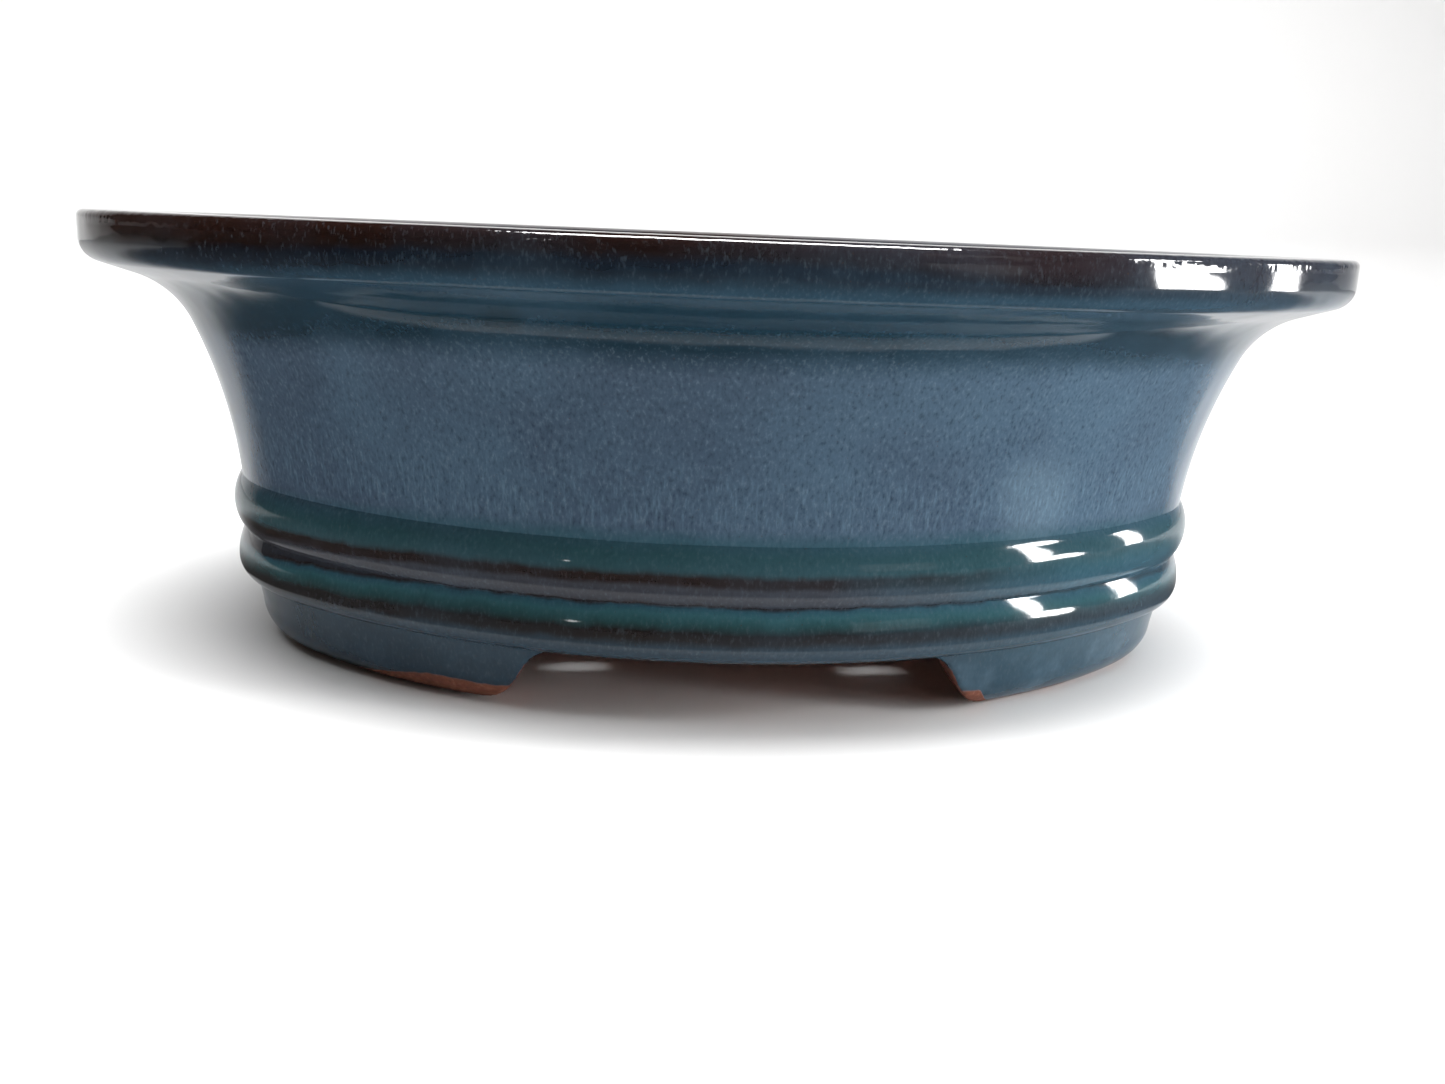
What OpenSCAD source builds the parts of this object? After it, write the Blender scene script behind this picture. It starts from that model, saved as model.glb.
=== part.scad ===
// Oval bonsai pot: a flared stoneware bowl with an overhanging lip, two half-round bands
// round its base and four feet, with the screens and wires that keep the soil in.
// The plan is a four-centre oval: two tight arcs at the ends and two wide ones at the sides,
// which run into each other without a kink. Every surface that goes round the pot is a
// profile swept along those four arcs. A profile is a list of [inset, height] points: the
// inset is measured inwards from the lip's outer edge and the height upwards from the table.
// X runs along the pot, Y across it and Z up. The origin is on the table under the middle.

/* [Overall] */
// Length over the lip
pot_length = 300; // [296:1:306]
// Width over the lip
pot_width = 236; // [232:1:240]
// Height from the table to the top of the lip
pot_height = 99; // [98:0.5:101]

/* [Lip] */
// Height of the lip's upright outer face
lip_face = 6; // [5.5:0.5:7]
// Radius under the lip's outer face
lip_corner = 5; // [4:0.5:5.5]
// Radius on the lip's outer top edge
lip_edge = 1.5; // [1:0.5:2]
// Radius of the roll from the lip's top into the bowl
lip_roll = 9; // [8:0.5:10]
// Height of the joint between the wall and the lip
lip_joint = 80; // [78:1:81]

/* [Wall] */
// Inset of the wall where it meets the upper band
waist_inset = 32.5; // [32:0.5:34]
// Lean of the wall above the upper band, in degrees from upright
waist_lean = 6; // [5:0.5:7]
// Radius of the long sweep of the wall
sweep_radius = 115; // [112:1:118]
// Lean of the wall where the long sweep turns into the tight cove, in degrees
cove_lean = 24.5; // [23.5:0.5:25]
// Radius of the cove under the lip
cove_radius = 20; // [19:0.5:20.5]
// Radius of the wall's inner face
bowl_radius = 140; // [138:1:144]
// Thickness of the wall at the top of the upper band
wall_thick = 8.5; // [8:0.5:9]
// Radius between the wall and the floor inside the bowl
bowl_fillet = 12; // [10:1:14]

/* [Bands] */
// Height of the upper band's top edge
band_top = 39.5; // [39:0.5:40.5]
// Height of the groove between the two bands
groove_height = 26.5; // [26:0.5:27.5]
// Inset of the groove between the two bands
groove_inset = 33; // [32.8:0.1:33.6]
// Inset of the upper band's crest
upper_crest_inset = 30.6; // [30:0.1:31.2]
// Height of the upper band's crest
upper_crest_height = 33.6; // [32.4:0.1:34.4]
// Inset of the lower band's crest
lower_crest_inset = 31.3; // [31:0.1:32.2]
// Height of the lower band's crest
lower_crest_height = 19.5; // [19:0.1:21]
// Depth of the step in the wall that the bands are luted into
band_seat = 2.5; // [2:0.5:3]

/* [Floor] */
// Height of the floor's underside above the table
floor_height = 14.5; // [14:0.5:15]
// Thickness of the floor
floor_thick = 8; // [7:0.5:9]
// Distance from the pot's middle to each drain hole
drain_offset = 50; // [46:1:54]
// Diameter of the drain holes
drain_diameter = 28; // [27.5:0.5:30]
// Diameter of the holes for the wires that tie the tree down
tie_diameter = 5; // [4:0.5:6]

/* [Feet] */
// Inset of the feet at the floor's underside
foot_inset = 35.3; // [35.1:0.1:36]
// Radial thickness of the feet
foot_thick = 17; // [16:0.5:18]
// Radius on the outer bottom edge of the feet
foot_round = 8.5; // [7:0.5:9]
// Half the width of the long cut-outs, at the floor
side_cut = 38.5; // [36:0.5:41]
// Half the width of the end cut-outs, at the floor
end_cut = 4; // [3:0.5:6]

/* [Screens] */
// Number of openings along each side of a drain screen
screen_cells = 11; // [9:2:11]
// Distance between the screen's strands
screen_pitch = 4; // [3.8:0.1:4.2]
// Width of a strand
strand_width = 1.2; // [0.8:0.1:1.4]
// Thickness of the screen
screen_thick = 1.2; // [1:0.1:1.6]
// Diameter of the wire in the screen clips
wire_diameter = 1.5; // [1.2:0.1:1.6]

/* [Hidden] */

glaze_blue = "#43596b";
glaze_teal = "#1f4a4a";
glaze_brown = "#3a2418";
bare_clay = "#8a4f38";
screen_black = "#26282a";
wire_metal = "#b9bcc0";

$fn = 180;
arc_steps = 12;
overlap = 1;

// The plan: the end arcs' centres lie on the long axis and the side arcs' on the short one,
// all equally far from the middle, so each arc spans a quarter turn. Lengths are rounded
// to a micron so that neighbouring arcs meet exactly.
arc_offset = to_micron((pot_length - pot_width) / 2 / (2 - sqrt(2)));
end_radius = pot_length / 2 - arc_offset;
side_radius = end_radius + to_micron(arc_offset * sqrt(2));

// The wall's outer face: the sweep's centre, then the cove's, both outside the pot.
sweep_centre = [waist_inset - sweep_radius * cos(waist_lean), band_top - sweep_radius * sin(waist_lean)];
cove_centre = sweep_centre + (sweep_radius - cove_radius) * [cos(cove_lean), sin(cove_lean)];
cove_joint_angle = asin((lip_joint - cove_centre.y) / cove_radius);
// The lip's corner, and the slope of the straight that joins it to the cove.
corner_centre = [lip_corner, pot_height - lip_face];
corner_rise = corner_centre - cove_centre;
under_lip_slope = atan2(corner_rise.x, corner_rise.y)
    + acos(min(1, (lip_corner + cove_radius) / norm(corner_rise)));
// The bowl's inner face: one long arc, tangent to the lip's roll above and the fillet below.
floor_top = floor_height + floor_thick;
bowl_centre = [waist_inset + wall_thick, band_top] - bowl_radius * [cos(waist_lean), sin(waist_lean)];
roll_height = pot_height - lip_roll;
roll_angle = asin((roll_height - bowl_centre.y) / (bowl_radius - lip_roll));
roll_centre = bowl_centre + (bowl_radius - lip_roll) * [cos(roll_angle), sin(roll_angle)];
bowl_joint_angle = asin((lip_joint - bowl_centre.y) / bowl_radius);
fillet_angle = asin((floor_top + bowl_fillet - bowl_centre.y) / (bowl_radius + bowl_fillet));
fillet_centre = bowl_centre + (bowl_radius + bowl_fillet) * [cos(fillet_angle), sin(fillet_angle)];
floor_inset = fillet_centre.x;
// The bands: a leaning face behind both, and the groove between them.
seat_top = [waist_inset + band_seat, band_top];
seat_bottom = [foot_inset + band_seat, floor_height];
seat_groove = seat_top + (seat_bottom - seat_top) * (band_top - groove_height) / (band_top - floor_height);
groove = [groove_inset, groove_height];
upper_crest = [upper_crest_inset, upper_crest_height];
lower_crest = [lower_crest_inset, lower_crest_height];
// The feet and their cut-outs.
foot_inner_round = 3;
foot_lean = 1.2;
side_cut_fillet = 7;
side_cut_round = 11;
side_cut_spread = 18.8;
end_cut_fillet = 2.5;
end_cut_round = 5.5;
end_cut_spread = 8.6;
// The holes for tie-down wires, from the middle.
tie_place = [34, 46];
// The clips: a leg in a mesh at each side of the hole, and a loop beside it.
leg_place = 3 * screen_pitch;
leg_bend = 1.8;
loop_radius = 4.5;
toe_place = 22;
wire_gap = 0.05;
wire_top = floor_top + screen_thick + wire_gap + wire_diameter / 2;
wire_bottom = floor_height - wire_gap - wire_diameter / 2;

// A length rounded to a micron.
function to_micron(value) = round(value * 1000) / 1000;

// Points along an arc from one angle to another.
function arc(centre, radius, from, to, steps = arc_steps) =
    [for (i = [0 : steps]) let (a = from + (to - from) * i / steps) centre + radius * [cos(a), sin(a)]];

// A strip's outer face: an arc up to its crest, where it is upright, and another above it.
function strip_face(low, crest, high) =
    let (under = crest_radius(crest, low), over = crest_radius(crest, high))
    concat(arc([crest.x + under, crest.y], under, 180 + asin((crest.y - low.y) / under), 180),
        arc([crest.x + over, crest.y], over, 180, 180 - asin((high.y - crest.y) / over)));

// The radius of the arc that is upright at the crest and runs through the strip's edge.
function crest_radius(crest, edge) =
    (pow(edge.x - crest.x, 2) + pow(edge.y - crest.y, 2)) / (2 * (edge.x - crest.x));

// Sweeps a profile right round the oval, one quarter-turn arc at a time.
module oval_ring(profile) {
    for (quarter = [0 : 3]) {
        radius = quarter % 2 == 0 ? end_radius : side_radius;
        translate([[1, 0], [0, -1], [-1, 0], [0, 1]][quarter] * arc_offset)
            rotate_extrude(angle = 90, start = 90 * quarter - 45)
                polygon([for (p = profile) [radius - to_micron(p.x), to_micron(p.y)]]);
    }
}

// The oval's outline at an inset, as a flat shape.
module oval(inset) {
    arc_end = arc_offset + (end_radius - inset) * cos(45);
    for (side = [-1, 1]) translate([side * arc_offset, 0]) circle(end_radius - inset);
    intersection() {
        translate([0, arc_offset]) circle(side_radius - inset);
        translate([0, -arc_offset]) circle(side_radius - inset);
        square([2 * arc_end, pot_width], center = true);
    }
}

// The lip: a heavy overhanging roll with an upright outer face and a flat top.
module rim_lip() {
    color(glaze_brown) oval_ring(concat(
        arc(cove_centre, cove_radius, cove_joint_angle, 90 - under_lip_slope),
        arc(corner_centre, lip_corner, 270 - under_lip_slope, 180),
        arc([lip_edge, pot_height - lip_edge], lip_edge, 180, 90, 6),
        arc(roll_centre, lip_roll, 90, roll_angle),
        arc(bowl_centre, bowl_radius, roll_angle, bowl_joint_angle)));
}

// The wall: a sweep that flares into the cove, with the bands' seat below it.
module wall() {
    color(glaze_blue) oval_ring(concat(
        [[floor_inset, floor_height], seat_bottom, seat_top],
        arc(sweep_centre, sweep_radius, waist_lean, cove_lean),
        arc(cove_centre, cove_radius, cove_lean, cove_joint_angle),
        arc(bowl_centre, bowl_radius, bowl_joint_angle, fillet_angle),
        arc(fillet_centre, bowl_fillet, 180 + fillet_angle, 270)));
}

// The bands: rounded strips luted into the wall's seat, one above the other.
module upper_band() {
    color(glaze_teal) oval_ring(concat([seat_groove],
        strip_face(groove, upper_crest, [waist_inset, band_top]), [seat_top]));
}

module lower_band() {
    color(glaze_teal) oval_ring(concat([seat_bottom],
        strip_face([foot_inset, floor_height], lower_crest, groove), [seat_groove]));
}

// The floor: a slab with two drain holes and four small holes for tie-down wires.
module bowl_floor() {
    color(bare_clay) difference() {
        translate([0, 0, floor_height]) linear_extrude(floor_thick) oval(floor_inset);
        for (side = [-1, 1]) translate([side * drain_offset, 0, floor_height - overlap])
            cylinder(d = drain_diameter, h = floor_thick + 2 * overlap);
        for (side = [-1, 1], end = [-1, 1])
            translate([end * tie_place.x, side * tie_place.y, floor_height - overlap])
                cylinder(d = tie_diameter, h = floor_thick + 2 * overlap);
    }
}

// Half of a cut-out's outline: a fillet under the floor, then a round over the foot's end.
function cut_edge(half, fillet, end_round, spread) =
    let (from = [half, floor_height - fillet], to = [half + spread, end_round], gap = to - from,
        turn = atan2(gap.y, gap.x) + acos(min(1, (fillet + end_round) / norm(gap))))
    concat([[half, floor_height + overlap]], arc(from, fillet, 90, turn),
        arc(to, end_round, 180 + turn, 270), [[half + spread, -overlap]]);

module cut_out(half, fillet, end_round, spread) {
    edge = cut_edge(half, fillet, end_round, spread);
    rotate([90, 0, 0]) linear_extrude(pot_length, center = true)
        polygon(concat(edge, [for (i = [len(edge) - 1 : -1 : 0]) [-edge[i].x, edge[i].y]]));
}

// A foot: a quarter of a ring under the wall, rounded below and cut back at both ends.
module foot(end, side) {
    inner = foot_inset + foot_thick;
    outer = foot_inset + foot_lean;
    color(glaze_blue) difference() {
        intersection() {
            oval_ring(concat([[inner, floor_height], [foot_inset, floor_height]],
                arc([outer + foot_round, foot_round], foot_round, 180, 270),
                arc([inner - foot_inner_round, foot_inner_round], foot_inner_round, 270, 360, 6)));
            translate([end > 0 ? 0 : -pot_length, side > 0 ? 0 : -pot_length, -overlap])
                cube([pot_length, pot_length, floor_height + 2 * overlap]);
        }
        cut_out(side_cut, side_cut_fillet, side_cut_round, side_cut_spread);
        rotate([0, 0, 90]) cut_out(end_cut, end_cut_fillet, end_cut_round, end_cut_spread);
    }
}

// A drain screen: a square of welded plastic netting over the drain hole.
module drain_screen(end) {
    opening = screen_pitch - strand_width;
    last = (screen_cells - 1) / 2 * screen_pitch;
    color(screen_black) translate([end * drain_offset, 0, floor_top]) linear_extrude(screen_thick)
        difference() {
            square(screen_cells * screen_pitch + strand_width, center = true);
            for (x = [-last : screen_pitch : last], y = [-last : screen_pitch : last])
                translate([x, y]) square(opening, center = true);
        }
}

// A bend of wire that starts at the origin along +Y and turns towards +X.
module wire_bend(radius, turn) {
    translate([radius, 0, 0]) rotate([0, 0, 180 - turn]) rotate_extrude(angle = turn)
        translate([radius, 0]) circle(d = wire_diameter, $fn = 32);
}

// A straight run of wire from the origin along +Z.
module wire_run(length) {
    cylinder(d = wire_diameter, h = length, $fn = 32);
}

// A screen clip: one wire with a loop at each side of the hole, whose legs go down
// through the screen and the hole and are folded outwards under the floor.
module screen_clip(end) {
    loop_place = leg_place + loop_radius;
    toe_start = leg_place + leg_bend;
    color(wire_metal) translate([end * drain_offset, 0, 0]) {
        for (side = [0, 1]) mirror([side, 0, 0]) {
            translate([leg_place, leg_bend, wire_top]) wire_bend(loop_radius, 270);
            translate([leg_place, 0, wire_top - leg_bend]) rotate([90, 0, 90]) wire_bend(leg_bend, 90);
            translate([leg_place, 0, wire_bottom + leg_bend])
                wire_run(wire_top - wire_bottom - 2 * leg_bend);
            translate([leg_place, 0, wire_bottom + leg_bend]) rotate([-90, 0, 0]) wire_bend(leg_bend, 90);
            translate([toe_start, 0, wire_bottom]) rotate([0, 90, 0]) wire_run(toe_place - toe_start);
        }
        translate([-loop_place, leg_bend - loop_radius, wire_top]) rotate([0, 90, 0])
            wire_run(2 * loop_place);
    }
}

rim_lip();
wall();
upper_band();
lower_band();
bowl_floor();
foot(-1, -1);  // foot_front_left
foot(1, -1);  // foot_front_right
foot(-1, 1);  // foot_back_left
foot(1, 1);  // foot_back_right
drain_screen(-1);  // drain_screen_left
drain_screen(1);  // drain_screen_right
screen_clip(-1);  // screen_clip_left
screen_clip(1);  // screen_clip_right
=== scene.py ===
# An oval bonsai pot: glazed stoneware with a flared wall, an overhanging lip, two
# half-round bands and four feet, and the netting and wires that close its drain holes.
import math
import bpy
from mathutils import Matrix, Vector


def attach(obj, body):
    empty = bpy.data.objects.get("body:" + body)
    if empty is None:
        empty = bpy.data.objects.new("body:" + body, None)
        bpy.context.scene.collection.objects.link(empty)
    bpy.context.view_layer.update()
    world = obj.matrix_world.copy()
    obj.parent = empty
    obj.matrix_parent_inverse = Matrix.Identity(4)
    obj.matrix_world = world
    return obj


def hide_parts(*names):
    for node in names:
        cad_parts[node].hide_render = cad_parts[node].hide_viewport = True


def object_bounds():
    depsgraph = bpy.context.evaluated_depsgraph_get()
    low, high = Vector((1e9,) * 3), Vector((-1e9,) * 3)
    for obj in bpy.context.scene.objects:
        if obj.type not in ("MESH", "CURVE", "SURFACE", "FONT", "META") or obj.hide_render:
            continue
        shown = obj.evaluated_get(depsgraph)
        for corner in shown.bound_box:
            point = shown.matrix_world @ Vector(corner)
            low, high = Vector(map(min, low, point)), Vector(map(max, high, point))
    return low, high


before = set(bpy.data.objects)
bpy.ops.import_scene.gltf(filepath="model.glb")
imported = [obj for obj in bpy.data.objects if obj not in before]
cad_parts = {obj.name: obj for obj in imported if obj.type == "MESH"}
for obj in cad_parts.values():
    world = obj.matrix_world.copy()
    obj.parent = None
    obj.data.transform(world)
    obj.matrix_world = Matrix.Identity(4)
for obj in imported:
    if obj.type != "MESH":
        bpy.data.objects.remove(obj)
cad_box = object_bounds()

# ---------------------------------------------------------------------------
# The camera stands a little left of the middle and above the lip, close to the
# pot, so the near side is drawn larger than the far one.
aim, dip, tilt = math.radians(-5.021), math.radians(-12.752), math.radians(2.361)
camera_distance, camera_height = 0.34895, 0.10046
forward = Vector((-math.sin(aim) * math.cos(dip), math.cos(aim) * math.cos(dip), math.sin(dip)))
level = Vector((math.cos(aim), math.sin(aim), 0))
rise = level.cross(forward)
across = level * math.cos(tilt) + rise * math.sin(tilt)
upward = rise * math.cos(tilt) - level * math.sin(tilt)
lens = bpy.data.cameras.new("camera")
lens.lens = 34.28
lens.sensor_width = 36
lens.shift_x = 0.0049
lens.shift_y = -0.0019
lens.clip_start = 0.01
camera = bpy.data.objects.new("camera", lens)
bpy.context.scene.collection.objects.link(camera)
stand = Matrix((across, upward, -forward)).transposed().to_4x4()
stand.translation = (math.sin(aim) * camera_distance, -math.cos(aim) * camera_distance, camera_height)
camera.matrix_world = stand
bpy.context.scene.camera = camera

# ---------------------------------------------------------------------------
# The wall: stoneware pressed in an oval mould, flaring into a tight cove under
# the lip, with a shallow seat low down that the bands are luted into. Its
# outside is glazed, and inside the glaze stops a little below the lip.
pot_low, pot_high = cad_box
half_length = (pot_high[0] - pot_low[0]) / 2 * 1000
half_width = (pot_high[1] - pot_low[1]) / 2 * 1000


def deselect_all():
    if bpy.context.object and bpy.context.object.mode != "OBJECT":
        bpy.ops.object.mode_set(mode="OBJECT")
    bpy.ops.object.select_all(action="DESELECT")


# The lip's outline is four arcs of a quarter turn each, all centred the same
# distance from the middle, so they run into each other without a kink.
arc_offset = (half_length - half_width) / (2 - math.sqrt(2))
end_radius = half_length - arc_offset
arc_centres = [(arc_offset, 0), (0, -arc_offset), (-arc_offset, 0), (0, arc_offset)]


def arc(centre, radius, start, stop, step=0.7):
    """Points along an arc of (inset, height) in mm, about one step apart."""
    count = max(2, math.ceil(abs(math.radians(stop - start)) * radius / step))
    turns = [math.radians(start + (stop - start) * i / count) for i in range(count + 1)]
    return [(centre[0] + radius * math.cos(t), centre[1] + radius * math.sin(t)) for t in turns]


def drawn_out(name, points):
    """A single vertex extruded from point to point, in metres."""
    deselect_all()
    bpy.ops.mesh.primitive_plane_add(size=0.001, location=points[0])
    piece = bpy.context.object
    piece.name = piece.data.name = name
    bpy.ops.object.transform_apply(location=True, rotation=False, scale=False)
    bpy.ops.object.mode_set(mode="EDIT")
    bpy.ops.mesh.select_mode(type="VERT")
    bpy.ops.mesh.select_all(action="SELECT")
    bpy.ops.mesh.merge(type="CENTER")
    for here, there in zip(points, points[1:]):
        step = [b - a for a, b in zip(here, there)]
        bpy.ops.mesh.extrude_region_move(TRANSFORM_OT_translate={"value": step})
    return piece


def smoothed_over():
    """Faces outwards, and shading that is smooth between the sharp edges."""
    bpy.ops.mesh.select_all(action="SELECT")
    bpy.ops.mesh.normals_make_consistent(inside=False)
    bpy.ops.object.mode_set(mode="OBJECT")
    bpy.ops.object.shade_smooth_by_angle(angle=math.radians(38))


def thrown(name, profile):
    """A closed profile of (inset, height) in mm, spun round the oval's four arcs."""
    slant = math.sqrt(0.5)
    outline = []
    for inset, height in profile + profile[:1]:
        reach = (end_radius - inset) * slant
        outline.append(((arc_offset + reach) / 1000, -reach / 1000, height / 1000))
    piece = drawn_out(name, outline)
    bpy.ops.mesh.select_all(action="SELECT")
    for x, y in arc_centres:
        bpy.ops.mesh.spin(steps=60, angle=-math.pi / 2, center=(x / 1000, y / 1000, 0), axis=(0, 0, 1))
    bpy.ops.mesh.select_all(action="SELECT")
    bpy.ops.mesh.remove_doubles(threshold=0.00001)
    smoothed_over()
    return piece


# Insets are measured in from the lip's outline and heights up from the table, in mm.
waist_inset, waist_height, waist_lean = 32.5, 39.5, 6
foot_inset, floor_height, floor_top = 35.3, 14.5, 22.5
groove = (33, 26.5)
seat_depth, waist_thick = 2.5, 8.5
sweep_radius, cove_radius, cove_turn = 115, 20, 24.5
bowl_radius, floor_fillet = 140, 12
lip_joint, pot_height = 80, 99


def polar(turn):
    return Vector((math.cos(math.radians(turn)), math.sin(math.radians(turn))))


def turn_at(height, centre, radius):
    """How far round an arc it is at a height, in degrees."""
    return math.degrees(math.asin((height - centre.y) / radius))


# The outer face is a long sweep, then the cove. The inner face is one long arc
# with a fillet at the floor.
sweep_centre = Vector((waist_inset, waist_height)) - sweep_radius * polar(waist_lean)
cove_centre = sweep_centre + (sweep_radius - cove_radius) * polar(cove_turn)
cove_joint = turn_at(lip_joint, cove_centre, cove_radius)
bowl_centre = Vector((waist_inset + waist_thick, waist_height)) - bowl_radius * polar(waist_lean)
bowl_joint = turn_at(lip_joint, bowl_centre, bowl_radius)
fillet_turn = turn_at(floor_top + floor_fillet, bowl_centre, bowl_radius + floor_fillet)
fillet_centre = bowl_centre + (bowl_radius + floor_fillet) * polar(fillet_turn)
floor_inset = fillet_centre.x
seat_top = (waist_inset + seat_depth, waist_height)
seat_bottom = (foot_inset + seat_depth, floor_height)
part_way = (waist_height - groove[1]) / (waist_height - floor_height)
seat_groove = tuple(a + (b - a) * part_way for a, b in zip(seat_top, seat_bottom))

wall = thrown("bowl_wall", [(floor_inset, floor_height), seat_bottom, seat_top]
              + arc(sweep_centre, sweep_radius, waist_lean, cove_turn)
              + arc(cove_centre, cove_radius, cove_turn, cove_joint)[1:]
              + arc(bowl_centre, bowl_radius, bowl_joint, fillet_turn, 1.2)
              + arc(fillet_centre, floor_fillet, 180 + fillet_turn, 270)[1:])


def add_node(tree, kind, inputs=None, **settings):
    """A shader node with its settings, its values and its links."""
    made = tree.nodes.new("ShaderNode" + kind)
    for name, value in settings.items():
        setattr(made, name, value)
    for name, value in (inputs or {}).items():
        if isinstance(value, bpy.types.NodeSocket):
            tree.links.new(value, made.inputs[name])
        else:
            made.inputs[name].default_value = value
    return made


def srgb(code):
    """A colour as given, turned into the light that it gives back."""
    parts = [int(code[i:i + 2], 16) / 255 for i in (1, 3, 5)]
    return [p / 12.92 if p <= 0.04045 else ((p + 0.055) / 1.055) ** 2.4 for p in parts] + [1]


def finish_named(name):
    """An empty material with its shader, and where the pattern is on the pot in mm."""
    made = bpy.data.materials.new(name)
    made.use_nodes = True
    tree = made.node_tree
    shader = tree.nodes["Principled BSDF"]
    place = add_node(tree, "TexCoord").outputs["Object"]
    in_mm = add_node(tree, "Mapping", {"Vector": place, "Scale": (1000, 1000, 1000)}).outputs[0]
    return made, tree, shader, in_mm


def grain(tree, where, size, detail=2.0, stretch=(1, 1, 1)):
    """Noise whose blotches are about size mm across."""
    scaled = add_node(tree, "Mapping", {"Vector": where, "Scale": [s / size for s in stretch]}).outputs[0]
    noise = {"Vector": scaled, "Scale": 1.0, "Detail": detail, "Roughness": 0.6}
    return add_node(tree, "TexNoise", noise).outputs["Fac"]


def calc(tree, operation, first, second=0.0, third=0.0):
    return add_node(tree, "Math", {0: first, 1: second, 2: third}, operation=operation).outputs[0]


def swayed(tree, value, noise, reach):
    """A value that noise pushes up and down, by half of the reach at most."""
    return calc(tree, "MULTIPLY_ADD", calc(tree, "SUBTRACT", noise, 0.5), reach, value)


def diagonal(tree, first, second):
    """The length of a step with these two sides."""
    square = calc(tree, "MULTIPLY", second, second)
    return calc(tree, "SQRT", calc(tree, "MULTIPLY_ADD", first, first, square))


def spread(tree, value, low, high, to_low=0.0, to_high=1.0):
    """Stretches a value between low and high, smoothly, and holds it at the ends."""
    return add_node(tree, "MapRange", {0: value, 1: low, 2: high, 3: to_low, 4: to_high},
                    interpolation_type="SMOOTHSTEP").outputs[0]


def blended(tree, amount, under, over):
    return add_node(tree, "Mix", {0: amount, 6: under, 7: over}, data_type="RGBA").outputs[2]


def ramp(tree, value, stops):
    """Colours at their spots along a value, running into each other between them."""
    made = add_node(tree, "ValToRGB", {0: value})
    band = made.color_ramp
    for i, (spot, colour) in enumerate(stops):
        stop = band.elements[i] if i < 2 else band.elements.new(spot)
        stop.position = spot
    for stop, (spot, colour) in zip(band.elements, stops):
        stop.position, stop.color = spot, srgb(colour)
    return made.outputs[0]


def raised(tree, shader, relief):
    """Gives a finish its relief, in mm."""
    in_metres = calc(tree, "MULTIPLY", relief, 0.001)
    bump = add_node(tree, "Bump", {"Height": in_metres, "Strength": 1.0, "Distance": 1.0})
    tree.links.new(bump.outputs[0], shader.inputs["Normal"])


# The pot was dipped twice, in a blue glaze over an iron brown. Where the coat ran
# thick it is teal and blue, full of fine hair-like crystals, and where it broke
# thin over an edge the brown shows through.
glaze, tree, shader, in_mm = finish_named("blue_over_brown_glaze")
split = add_node(tree, "SeparateXYZ", {0: in_mm}).outputs
clouds = grain(tree, in_mm, 38, 3)
patches = grain(tree, in_mm, 9, 3)
hairs = grain(tree, in_mm, 0.7, 3, (1, 1, 0.5))
fleck = grain(tree, in_mm, 0.45, 1)

# The colours follow the height up the pot, with uneven edges. They sit lower towards
# the two ends, and lower still on the right of the lip.
wobble = swayed(tree, split["Z"], patches, 2.2)
wobble = calc(tree, "ADD", wobble, spread(tree, split["X"], -50, -115, 0, 2.2))
wobble = calc(tree, "ADD", wobble, spread(tree, split["X"], 60, 115, 0, 1.2))
on_lip = spread(tree, split["Z"], 90, 94)
wobble = calc(tree, "MULTIPLY_ADD", spread(tree, split["X"], 0, 50, 0, 2.8), on_lip, wobble)

# Each colour is given with its height in tenths of a metre. Towards the right the
# coat ran over the bands and the feet, and there it has the runny colours.
height = calc(tree, "DIVIDE", wobble, 100)
# Part of this ramp is painted light. The dark stops from 0.785 to 0.86 are painted shade in the cove under
# the lip. The greys at 0.185, from 0.275 to 0.31 and at 0.90, on the down-facing undersides of the bands and
# the lip's corner, are partly painted reflection of the pale table.
body = ramp(tree, height, [
    (0.02, "#1a2e3c"), (0.15, "#1b303e"), (0.185, "#2c3740"), (0.20, "#211d1c"), (0.215, "#1b1615"),
    (0.232, "#213d3f"), (0.25, "#2c5057"), (0.262, "#2a4956"), (0.268, "#20120e"), (0.275, "#2a2c33"),
    (0.31, "#323237"), (0.318, "#1e110b"), (0.332, "#1e110b"), (0.345, "#274147"), (0.375, "#244147"),
    (0.40, "#2b4753"), (0.43, "#364556"), (0.735, "#364453"), (0.785, "#122530"), (0.86, "#132833"),
    (0.90, "#1f3340"), (0.925, "#111a23"), (0.945, "#0d121a"), (0.96, "#130906"), (0.99, "#1e0e09")])
runny = ramp(tree, height, [
    (0.02, "#1d3847"), (0.15, "#1d3a47"), (0.185, "#253640"), (0.205, "#1d1f21"), (0.22, "#1d2a2c"),
    (0.24, "#264b4f"), (0.262, "#2a4956"), (0.268, "#232a2d"), (0.28, "#294755"), (0.325, "#20434d"),
    (0.35, "#203f44")])
drawn_right = swayed(tree, split["X"], clouds, 60)
run_share = calc(tree, "MULTIPLY", spread(tree, drawn_right, 15, 80), spread(tree, height, 0.36, 0.34))
body = blended(tree, run_share, body, runny)

# Clouds and hairs are strongest on the wall, between the bands and the lip. There are
# brown specks all over.
# Beside the clouds, the coat is made paler towards the right. This is painted light from the windows on that
# side.
clouds_and_light_from_right = calc(tree, "ADD", spread(tree, clouds, 0.35, 0.7, 0.0, 0.4),
             spread(tree, split["X"], -10, 130, 0.0, 0.5))
pale = blended(tree, clouds_and_light_from_right, body, srgb("#43596a"))
haired = blended(tree, spread(tree, hairs, 0.5, 0.78, 0.0, 0.4), pale, srgb("#63737e"))
inked = blended(tree, spread(tree, hairs, 0.5, 0.24, 0.0, 0.5), haired, srgb("#19232b"))
on_wall = calc(tree, "MULTIPLY", spread(tree, height, 0.38, 0.44), spread(tree, height, 0.81, 0.74))
coat = blended(tree, calc(tree, "MULTIPLY_ADD", on_wall, 0.65, 0.35), body, inked)
coat = blended(tree, spread(tree, fleck, 0.73, 0.78, 0.0, 0.55), coat, srgb("#3a2a20"))


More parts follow.
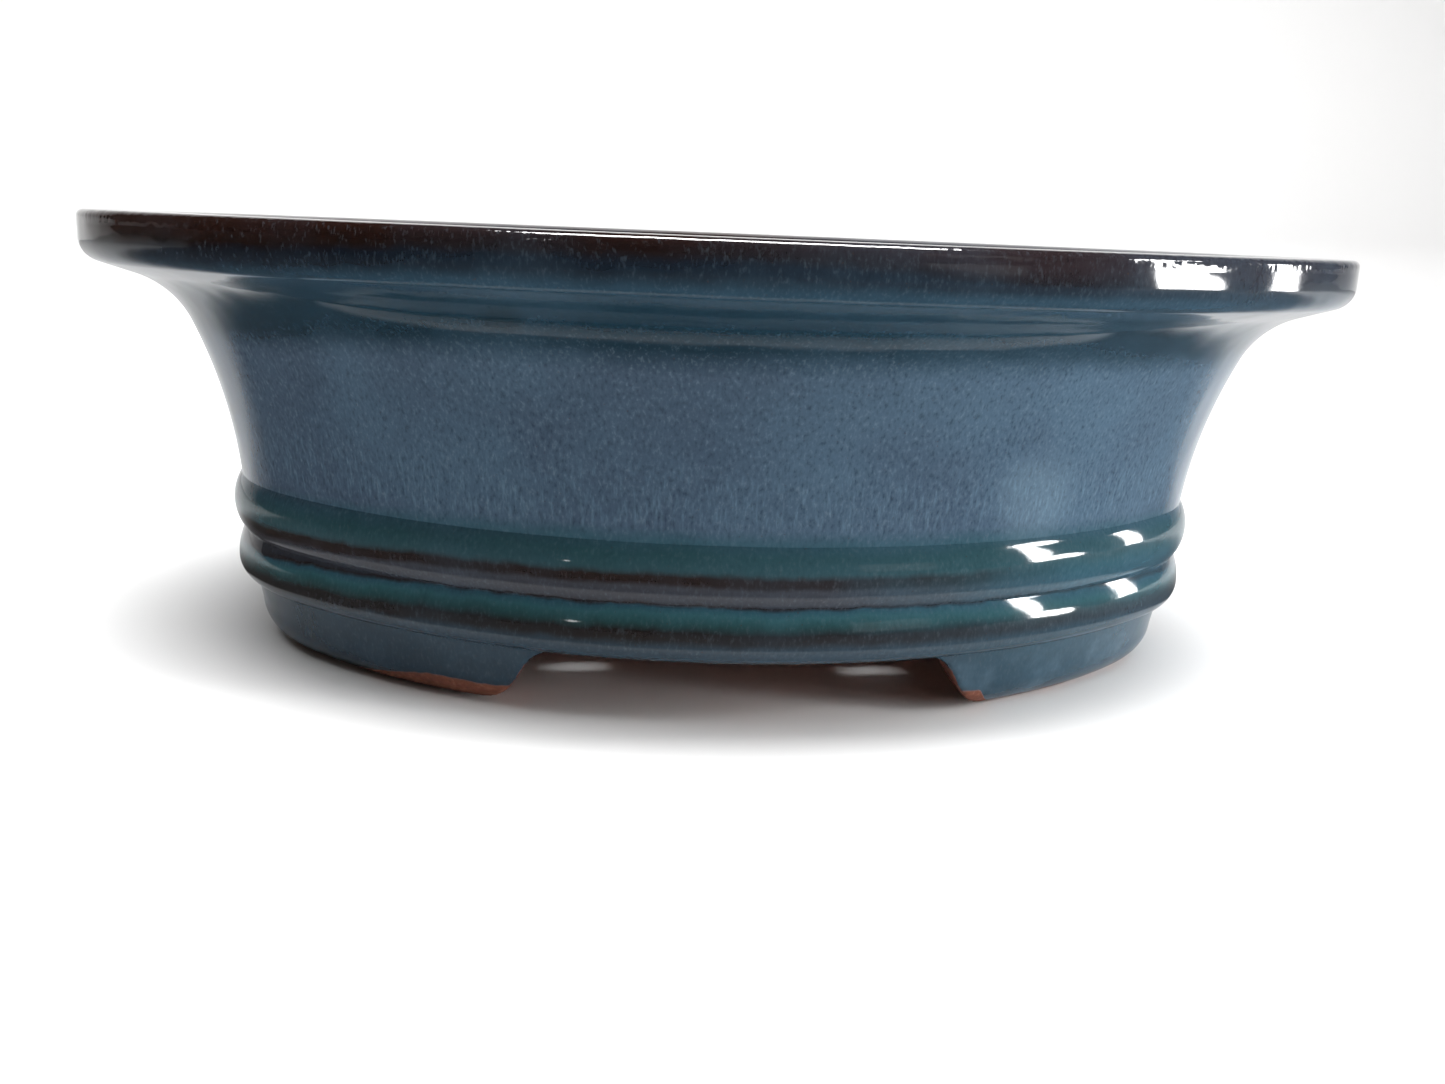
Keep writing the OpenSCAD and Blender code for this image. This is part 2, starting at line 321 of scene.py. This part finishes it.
def blot(spot, size, strongest):
    """How much of a soft spot on the front of the pot there is, about (x, z) in mm."""
    parts = [calc(tree, "POWER", calc(tree, "DIVIDE", calc(tree, "SUBTRACT", split[side], at), wide), 2)
             for side, at, wide in zip(("X", "Z"), spot, size)]
    near = spread(tree, calc(tree, "ADD", calc(tree, "ADD", *parts), patches), 1.7, 0.3, 0.0, strongest)
    return calc(tree, "MULTIPLY", near, calc(tree, "LESS_THAN", split["Y"], 0))


# Where the coat was touched it is dark. Low on the right of the wall a pale soft patch is a painted
# highlight, the windows' soft reflection. The coat pooled paler on the feet and in short runs above the
# upper band.
coat = blended(tree, blot((-49, 83), (5, 3.5), 0.6), coat, srgb("#0e1a1f"))
# A painted highlight: the windows' soft reflection, low on the right of the wall.
coat = blended(tree, blot((60, 48), (11, 12), 0.11), coat, srgb("#8ea6b4"))
runs = grain(tree, in_mm, 0.8, 2, (1, 1, 0.12))
streaked = calc(tree, "MULTIPLY", spread(tree, runs, 0.45, 0.8, 0.0, 0.24),
                calc(tree, "MULTIPLY", spread(tree, split["Z"], 41, 44), spread(tree, split["Z"], 60, 48)))
coat = blended(tree, streaked, coat, srgb("#6f8b9c"))
cloudy = calc(tree, "MULTIPLY", spread(tree, patches, 0.35, 0.8, 0.0, 0.4), spread(tree, split["Z"], 14, 11))
cloudy = calc(tree, "MULTIPLY", cloudy, spread(tree, split["X"], 20, 70, 0.15, 1))
coat = blended(tree, cloudy, coat, srgb("#5a7384"))

# The glaze was wiped off where the pot stood in the kiln, along an uneven line that
# climbs towards the long cut-outs, and off the cut ends of the feet.
along, aside = [calc(tree, "ABSOLUTE", split[side]) for side in ("X", "Y")]
wiped = calc(tree, "MULTIPLY_ADD", spread(tree, split["X"], -92, -60),
             spread(tree, split["X"], 56, 52, 0, 4.4), 0.9)
wiped = swayed(tree, wiped, grain(tree, in_mm, 13, 3), 3)
facing = add_node(tree, "SeparateXYZ", {0: add_node(tree, "TexCoord").outputs["Normal"]}).outputs["X"]
inward = calc(tree, "MULTIPLY", facing, calc(tree, "SIGN", split["X"]))
cut_end = calc(tree, "MULTIPLY", spread(tree, inward, -0.42, -0.6), spread(tree, wobble, 12.5, 10.5))
cut_end = calc(tree, "MULTIPLY", cut_end, spread(tree, along, 62, 60))
bare = calc(tree, "MAXIMUM", cut_end, spread(tree, calc(tree, "SUBTRACT", split["Z"], wiped), 0.4, -0.2))

# Inside, the glaze runs a little way down from the lip, and the rest and the
# underside are bare, but not the feet. How far a point is in from the lip's outline
# follows from whichever arc it stands by.
from_end = calc(tree, "SUBTRACT", along, arc_offset)
from_side = calc(tree, "ADD", aside, arc_offset)
end_inset = calc(tree, "SUBTRACT", end_radius, diagonal(tree, from_end, aside))
side_radius = end_radius + arc_offset * math.sqrt(2)
side_inset = calc(tree, "SUBTRACT", side_radius, diagonal(tree, from_side, along))
by_end = calc(tree, "GREATER_THAN", from_end, aside)
inset = add_node(tree, "Mix", {0: by_end, 2: side_inset, 3: end_inset}).outputs[0]
outward = calc(tree, "SUBTRACT", inset, bowl_centre.x)
above = calc(tree, "SUBTRACT", split["Z"], bowl_centre.y)
on_foot = spread(tree, split["Z"], floor_height - 0.2, floor_height - 0.6, 0, 10)
depth = calc(tree, "SUBTRACT", diagonal(tree, outward, above), on_foot)
within = spread(tree, depth, bowl_radius - 3.5, bowl_radius - 2)
dip_line = swayed(tree, split["Z"], grain(tree, in_mm, 30, 3), 9)
bare = calc(tree, "MAXIMUM", bare, calc(tree, "MULTIPLY", within, spread(tree, dip_line, 79, 78)))


def stoneware(tree, in_mm):
    """The red clay's colour, blotched by the fire and gritty, and its grit's height in mm."""
    tone = ramp(tree, grain(tree, in_mm, 22, 3), [(0.3, "#5b3226"), (0.5, "#713f2e"), (0.7, "#7f4b38")])
    grit = grain(tree, in_mm, 1.2, 3)
    tone = blended(tree, spread(tree, grit, 0.5, 0.7, 0.0, 0.45), tone, srgb("#9a6a54"))
    return blended(tree, spread(tree, grit, 0.45, 0.3, 0.0, 0.5), tone, srgb("#432419")), grit


red_clay, grit = stoneware(tree, in_mm)
coat = blended(tree, bare, coat, red_clay)
tree.links.new(coat, shader.inputs["Base Color"])
gloss = add_node(tree, "MapRange", {0: bare, 3: 0.07, 4: 0.8}).outputs[0]
tree.links.new(gloss, shader.inputs["Roughness"])
shader.inputs["IOR"].default_value = 1.45

# The coat lies in faint ripples and is uneven on the lip's top edge, which catches
# the light in points.
ripple = grain(tree, in_mm, 14, 1)
peel = grain(tree, in_mm, 1.6, 2)
relief = calc(tree, "MULTIPLY_ADD", ripple, 0.25, calc(tree, "MULTIPLY", peel, 0.006))
on_edge = calc(tree, "MULTIPLY", spread(tree, split["Z"], 96, 97.5), spread(tree, inset, 5, 3))
lumps = calc(tree, "MULTIPLY", grain(tree, in_mm, 2.4, 1), on_edge)
relief = calc(tree, "MULTIPLY_ADD", lumps, 0.12, relief)
relief = calc(tree, "MULTIPLY_ADD", calc(tree, "MULTIPLY", grit, bare), 0.2, relief)
raised(tree, shader, relief)


def finished_as(piece, finish, node):
    """Gives a piece its material and puts it in place of the node that it refines."""
    piece.data.materials.clear()
    piece.data.materials.append(finish)
    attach(piece, "root")
    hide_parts(node)


finished_as(wall, glaze, "wall")

# ---------------------------------------------------------------------------
# The lip: a thick coil luted on the wall and turned over, with an upright face,
# a crisp top edge and a broad roll down into the bowl.
lip_face, lip_corner, lip_edge, lip_roll = 6, 5, 1.5, 9
corner_centre = Vector((lip_corner, pot_height - lip_face))
to_corner = corner_centre - cove_centre
slope = math.atan2(to_corner.x, to_corner.y)
under_lip = math.degrees(slope + math.acos((lip_corner + cove_radius) / to_corner.length))
roll_turn = turn_at(pot_height - lip_roll, bowl_centre, bowl_radius - lip_roll)
roll_centre = bowl_centre + (bowl_radius - lip_roll) * polar(roll_turn)
lip = thrown("lip", arc(cove_centre, cove_radius, cove_joint, 90 - under_lip)
             + arc(corner_centre, lip_corner, 270 - under_lip, 180, 0.5)
             + arc((lip_edge, pot_height - lip_edge), lip_edge, 180, 90, 0.3)
             + arc(roll_centre, lip_roll, 90, roll_turn)
             + arc(bowl_centre, bowl_radius, roll_turn, bowl_joint)[1:])
finished_as(lip, glaze, "rim_lip")

# ---------------------------------------------------------------------------
# The bands: two half-round strips rolled out of the same clay and luted into the
# wall's seat, so a sharp groove runs between them and another under the wall.
upper_crest, lower_crest = (30.6, 33.1), (31.3, 19.3)


def strip_face(low, crest, high):
    """An arc from the lower edge up to the crest, where it is upright, and one above it."""
    radii = [((x - crest[0]) ** 2 + (z - crest[1]) ** 2) / (2 * (x - crest[0])) for x, z in (low, high)]
    turns = [math.degrees(math.asin(abs(z - crest[1]) / r)) for (x, z), r in zip((low, high), radii)]
    return (arc((crest[0] + radii[0], crest[1]), radii[0], 180 + turns[0], 180, 0.4)
            + arc((crest[0] + radii[1], crest[1]), radii[1], 180, 180 - turns[1], 0.4)[1:])


upper_band = thrown("upper_band_strip", [seat_groove]
                    + strip_face(groove, upper_crest, (waist_inset, waist_height)) + [seat_top])
finished_as(upper_band, glaze, "upper_band")
lower_band = thrown("lower_band_strip", [seat_bottom]
                    + strip_face((foot_inset, floor_height), lower_crest, groove) + [seat_groove])
finished_as(lower_band, glaze, "lower_band")

# ---------------------------------------------------------------------------
# The feet: quarters of a clay ring, rounded underneath and cut back at the ends
# in an S-shaped curve. The glaze was wiped off where they stand, so the red
# stoneware shows there.
above_joint, foot_voxel = 0.003, 0.0007


def copied(piece, name):
    """A copy of a piece, on its own, selected and active."""
    deselect_all()
    made = piece.copy()
    made.data = piece.data.copy()
    made.name = made.data.name = name
    made.parent = None
    made.matrix_world = Matrix.Identity(4)
    bpy.context.scene.collection.objects.link(made)
    bpy.context.view_layer.objects.active = made
    made.select_set(True)
    return made


def merged_copy(node, name):
    """A copy of a node with its doubled corners merged, all selected in Edit Mode."""
    made = copied(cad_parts[node], name)
    bpy.ops.object.mode_set(mode="EDIT")
    bpy.ops.mesh.select_all(action="SELECT")
    bpy.ops.mesh.remove_doubles(threshold=0.00001)
    return made


# Each foot is drawn up past the joint, made even and softened all over, and cut off
# again at the joint, so that its top stays flat.
for node in ("foot_front_left", "foot_front_right", "foot_back_left", "foot_back_right"):
    foot = merged_copy(node, node + "_pad")
    bpy.ops.mesh.select_all(action="DESELECT")
    bpy.ops.object.mode_set(mode="OBJECT")
    for face in foot.data.polygons:
        face.select = face.normal.z > 0.9 and face.center.z > (floor_height - 0.2) / 1000
    bpy.ops.object.mode_set(mode="EDIT")
    bpy.ops.mesh.select_mode(type="FACE")
    bpy.ops.mesh.extrude_region_move(TRANSFORM_OT_translate={"value": (0, 0, above_joint)})
    bpy.ops.object.mode_set(mode="OBJECT")
    remesh = foot.modifiers.new("even", "REMESH")
    remesh.mode = "VOXEL"
    remesh.voxel_size = foot_voxel
    remesh.use_smooth_shade = True
    bpy.ops.object.modifier_apply(modifier="even")
    soften = foot.modifiers.new("soften", "SMOOTH")
    soften.iterations = 6
    bpy.ops.object.modifier_apply(modifier="soften")
    bpy.ops.object.mode_set(mode="EDIT")
    bpy.ops.mesh.select_all(action="SELECT")
    bpy.ops.mesh.bisect(plane_co=(0, 0, floor_height / 1000), plane_no=(0, 0, 1),
                        threshold=0.00005, clear_outer=True)
    bpy.ops.mesh.select_all(action="SELECT")
    bpy.ops.mesh.remove_doubles(threshold=0.00005)
    bpy.ops.mesh.fill_holes(sides=0)
    smoothed_over()
    finished_as(foot, glaze, node)

# ---------------------------------------------------------------------------
# The floor: a slab of bare red stoneware, with two drain holes and four small ones
# for tie-down wires, whose edges were smoothed with a sponge.
clay, tree, shader, in_mm = finish_named("bare_red_stoneware")
tone, grit = stoneware(tree, in_mm)
tree.links.new(tone, shader.inputs["Base Color"])
shader.inputs["Roughness"].default_value = 0.8
raised(tree, shader, calc(tree, "MULTIPLY", grit, 0.2))

drain_reach, drain_radius = 50, 14
tie_along, tie_aside, tie_radius = 34, 46, 2.5
holes = [(x, 0, drain_radius) for x in (-drain_reach, drain_reach)]
holes += [(x, y, tie_radius) for x in (-tie_along, tie_along) for y in (-tie_aside, tie_aside)]
slab = merged_copy("bowl_floor", "floor_slab")
bpy.ops.mesh.select_mode(type="VERT")
bpy.ops.mesh.select_all(action="SELECT")
bpy.ops.mesh.dissolve_limited(angle_limit=math.radians(1))
bpy.ops.mesh.select_all(action="DESELECT")
bpy.ops.object.mode_set(mode="OBJECT")
for corner in slab.data.vertices:
    x, y, z = corner.co * 1000
    corner.select = any(math.hypot(x - hole[0], y - hole[1]) < hole[2] + 0.2 for hole in holes)
bpy.ops.object.mode_set(mode="EDIT")
bpy.ops.mesh.select_mode(type="EDGE")
bpy.ops.mesh.bevel(offset=0.0009, segments=3, affect="EDGES")
smoothed_over()
finished_as(slab, clay, "bowl_floor")

# ---------------------------------------------------------------------------
# The drain screens: squares of black plastic netting, with one layer of strands
# welded on top of the other, lying over the holes.
netting, tree, shader, in_mm = finish_named("black_netting")
haze = grain(tree, in_mm, 3, 3)
tree.links.new(ramp(tree, haze, [(0.35, "#18191b"), (0.65, "#2b2d30")]), shader.inputs["Base Color"])
tree.links.new(spread(tree, haze, 0.3, 0.7, 0.35, 0.55), shader.inputs["Roughness"])

pitch, strands, strand_radius, flattened = 4, 12, 0.6, 0.6
low_layer, high_layer = (floor_top + 0.36) / 1000, (floor_top + 0.84) / 1000
reach = (strands - 1) / 2 * pitch
deselect_all()
bpy.ops.mesh.primitive_cylinder_add(vertices=12, radius=strand_radius / 1000,
                                    depth=2 * (reach + strand_radius) / 1000)
strand = bpy.context.object
bpy.ops.object.mode_set(mode="EDIT")
bpy.ops.mesh.select_all(action="SELECT")
bpy.ops.transform.rotate(value=math.pi / 2, orient_axis="Y", center_override=(0, 0, 0))
bpy.ops.transform.resize(value=(1, 1, flattened), center_override=(0, 0, 0))
bpy.ops.object.mode_set(mode="OBJECT")
for hole_x, name in ((-drain_reach / 1000, "left"), (drain_reach / 1000, "right")):
    shifts = [(i * pitch - reach) / 1000 for i in range(strands)]
    places = [(hole_x, shift, low_layer) for shift in shifts]
    places += [(hole_x + shift, 0, high_layer) for shift in shifts]
    laid = [copied(strand, "strand") for place in places]
    for i, (piece, place) in enumerate(zip(laid, places)):
        piece.location = place
        piece.rotation_euler.z = math.pi / 2 if i >= strands else 0
        piece.select_set(True)
    bpy.context.view_layer.objects.active = laid[0]
    bpy.ops.object.join()
    screen = bpy.context.object
    screen.name = screen.data.name = "netting_" + name
    bpy.ops.object.transform_apply(location=True, rotation=True, scale=True)
    bpy.ops.object.shade_smooth_by_angle(angle=math.radians(38))
    finished_as(screen, netting, "drain_screen_" + name)
bpy.data.objects.remove(strand)

# ---------------------------------------------------------------------------
# The screen clips: one aluminium wire each, bent into a loop at either side, with
# legs that go down through the netting and the hole and fold out under the floor.
wire, tree, shader, in_mm = finish_named("soft_aluminium_wire")
drawn = grain(tree, in_mm, 0.9, 2)
shader.inputs["Metallic"].default_value = 1.0
tree.links.new(ramp(tree, drawn, [(0.3, "#b4b5b6"), (0.7, "#d2d2d0")]), shader.inputs["Base Color"])
tree.links.new(spread(tree, drawn, 0.3, 0.7, 0.28, 0.45), shader.inputs["Roughness"])

wire_top, wire_low, bend, loop = floor_top + 2, floor_height - 0.8, 1.8, 4.5
leg, toe = 12, 22
quarter = math.pi / 2
deselect_all()
bpy.ops.mesh.primitive_circle_add(vertices=20, radius=0.00075, fill_type="NOTHING",
                                  location=(toe / 1000, 0, wire_low / 1000), rotation=(0, quarter, 0))
clip = bpy.context.object
bpy.ops.object.transform_apply(location=True, rotation=True, scale=True)
bpy.ops.object.mode_set(mode="EDIT")
bpy.ops.mesh.select_mode(type="EDGE")
bpy.ops.mesh.select_all(action="SELECT")
fall = wire_top - wire_low - 2 * bend
for centre, axis, turn, run in (
        ((leg + bend, 0, wire_low + bend), (0, 1, 0), -quarter, (leg + bend - toe, 0, 0)),
        ((leg, bend, wire_top - bend), (1, 0, 0), quarter, (0, 0, fall)),
        ((leg + loop, bend, wire_top), (0, 0, 1), 3 * quarter, None),
        ((-leg - loop, bend, wire_top), (0, 0, 1), 3 * quarter, (-2 * (leg + loop), 0, 0)),
        ((-leg, bend, wire_top - bend), (1, 0, 0), -quarter, None),
        ((-leg - bend, 0, wire_low + bend), (0, 1, 0), -quarter, (0, 0, -fall)),
        (None, None, None, (leg + bend - toe, 0, 0))):
    if run:
        bpy.ops.mesh.extrude_region_move(TRANSFORM_OT_translate={"value": [part / 1000 for part in run]})
    if centre:
        bpy.ops.mesh.spin(steps=max(8, round(abs(turn) * 8)), angle=turn,
                          center=[part / 1000 for part in centre], axis=axis)
bpy.ops.mesh.select_all(action="SELECT")
bpy.ops.mesh.remove_doubles(threshold=0.00001)
bpy.ops.mesh.fill_holes(sides=0)
smoothed_over()
for hole_x, name in ((-drain_reach / 1000, "left"), (drain_reach / 1000, "right")):
    bent = copied(clip, "clip_" + name)
    bent.location = (hole_x, 0, 0)
    bpy.ops.object.transform_apply(location=True, rotation=True, scale=True)
    finished_as(bent, wire, "screen_clip_" + name)
bpy.data.objects.remove(clip)

# ---------------------------------------------------------------------------
# The studio: a pale table that sweeps up behind the pot, soft light from above, and
# a window and a door on the right, in a room that is otherwise dim.
deselect_all()
table = drawn_out("table", [(-4, -3, 0), (-4, 1.6, 0), (-4, 2.2, 0.12), (-4, 2.5, 0.6), (-4, 2.5, 3)])
bpy.ops.mesh.select_all(action="SELECT")
bpy.ops.mesh.extrude_region_move(TRANSFORM_OT_translate={"value": (8, 0, 0)})
bpy.ops.mesh.select_all(action="SELECT")
bpy.ops.mesh.normals_make_consistent(inside=False)
bpy.ops.object.mode_set(mode="OBJECT")
bpy.ops.object.shade_smooth()
paper, tree, shader, in_mm = finish_named("pale_table")
shader.inputs["Base Color"].default_value = (0.85, 0.85, 0.85, 1)
shader.inputs["Roughness"].default_value = 0.9
table.data.materials.append(paper)

world = bpy.data.worlds.new("room")
bpy.context.scene.world = world
world.use_nodes = True
world.node_tree.nodes["Background"].inputs["Color"].default_value = (0.05, 0.045, 0.04, 1)


def panel(name, place, aimed_at, width, height, power, mirrored=True, shape="RECTANGLE"):
    """A flat soft light, facing a point, that reflections may or may not show."""
    data = bpy.data.lights.new(name, "AREA")
    data.shape = shape
    data.size, data.size_y = width, height
    data.energy = power
    light = bpy.data.objects.new(name, data)
    bpy.context.scene.collection.objects.link(light)
    light.location = place
    light.rotation_euler = (Vector(place) - Vector(aimed_at)).to_track_quat("Z", "Y").to_euler()
    light.visible_glossy = mirrored
    return light


def window(name, turns, heights, glow, shape="RECTANGLE"):
    """A pane of light between two bearings from straight ahead and two heights, in degrees."""
    distance, pot_middle = 1.3, (0, 0, 0.04)
    turn, height = math.radians(sum(turns) / 2), math.radians(sum(heights) / 2)
    width, tall = [distance * math.radians(b - a) for a, b in (turns, heights)]
    towards = Vector((math.cos(height) * math.sin(turn), -math.cos(height) * math.cos(turn),
                      math.sin(height)))
    where = Vector(pot_middle) + distance * towards
    return panel(name, where, pot_middle, width, tall, glow * math.pi * width * tall, True, shape)


panel("ceiling", (0, 0.1, 1.6), (0, 0, 0), 2.4, 2.4, 22, mirrored=False)
panel("right_fill", (1.3, -1.0, 0.7), (0, 0, 0.05), 1.0, 1.0, 3.5, mirrored=False)
panel("backdrop_light", (0, 1.2, 2.2), (0, 2.5, 0.6), 5, 0.8, 60, mirrored=False)
window("ceiling_lamp", (-20, 30), (66, 82), 21).visible_glossy = False
window("ceiling_glint", (-20, 30), (66, 84), 60).visible_diffuse = False
window("window_side", (65, 71), (-2, 27), 30, "ELLIPSE")
window("window_head", (66, 78), (21, 27), 30, "ELLIPSE")
window("window_sill", (66, 79), (-3, 4), 30, "ELLIPSE")
window("door", (92, 98), (-4, 15), 30)
window("far_lamp", (-30.5, -28.5), (5, 7), 12)
window("far_window", (27, 43), (2, 15), 0.5)

# How the table mirrors in the glaze: pale under the pot, and from the lip's edge
# outwards dark in front and a third as dark behind.
deselect_all()
bpy.ops.mesh.primitive_plane_add(size=8, location=(0, 0, 0.0005))
mirrored_table = bpy.context.object
mirrored_table.name = "mirrored_table"
bpy.ops.object.transform_apply(location=True, rotation=False, scale=False)
mirrored_paper, tree, shader, in_mm = finish_named("mirrored_table")
sides = add_node(tree, "SeparateXYZ", {0: in_mm}).outputs
squares = [calc(tree, "POWER", calc(tree, "DIVIDE", sides[side], size), 2)
           for side, size in (("X", half_length), ("Y", half_width))]
beyond = spread(tree, calc(tree, "SQRT", calc(tree, "ADD", *squares)), 0.87, 0.93)
shade = calc(tree, "MULTIPLY", beyond, spread(tree, sides["Y"], 110, 10, 0.35, 1))
tree.links.new(blended(tree, shade, (0.62, 0.62, 0.62, 1), srgb("#15110f")), shader.inputs["Base Color"])
shader.inputs["Roughness"].default_value = 0.9
mirrored_table.data.materials.append(mirrored_paper)
mirrored_table.visible_camera = mirrored_table.visible_diffuse = mirrored_table.visible_shadow = False

bpy.context.scene.view_settings.view_transform = "Standard"
